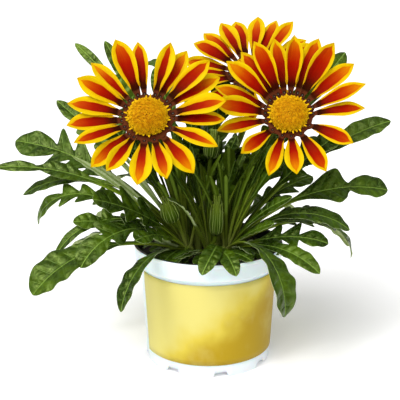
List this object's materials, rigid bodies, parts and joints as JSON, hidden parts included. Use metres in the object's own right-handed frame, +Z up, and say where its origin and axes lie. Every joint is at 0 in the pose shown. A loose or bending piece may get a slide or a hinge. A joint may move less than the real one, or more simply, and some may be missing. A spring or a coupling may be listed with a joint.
{
  "type": "potted gazania",
  "caption": "Gazania in bloom in a round plastic nursery pot with a yellow wrap label: striped daisy flowers and buds over a rosette of lobed and plain leaves.",
  "frame": {"origin": "centre of the circle that the pot stands on, on the surface under the pot", "axes": "+Z up, -Y towards the side that the blooms face, +X to the right as seen from that side"},
  "size_m": [0.322, 0.2212, 0.2684],
  "materials": {
    "white_plastic": "semi-gloss moulded plastic",
    "label_film": "satin printed film",
    "potting_mix": "damp and crumbly",
    "leaf": "satin above, woolly below",
    "stem": "satin",
    "ray_petals": "satin petal",
    "disc_florets": "matt florets"
  },
  "bodies": {
    "root": {"pot": "white_plastic", "pot_label": "label_film", "soil": "potting_mix", "shoot_front_left": "leaf", "shoot_left": "leaf", "shoot_back_left": "leaf", "shoot_back": "leaf", "shoot_back_right": "leaf", "shoot_right": "leaf", "shoot_front_right": "leaf", "shoot_front": "leaf", "flower_stem_left": "stem", "flower_stem_right": "stem", "flower_stem_back": "stem", "bloom_left_rays": "ray_petals", "bloom_right_rays": "ray_petals", "bloom_back_rays": "ray_petals", "bloom_left_disc": "disc_florets", "bloom_right_disc": "disc_florets", "bloom_back_disc": "disc_florets"}
  },
  "joints": []
}
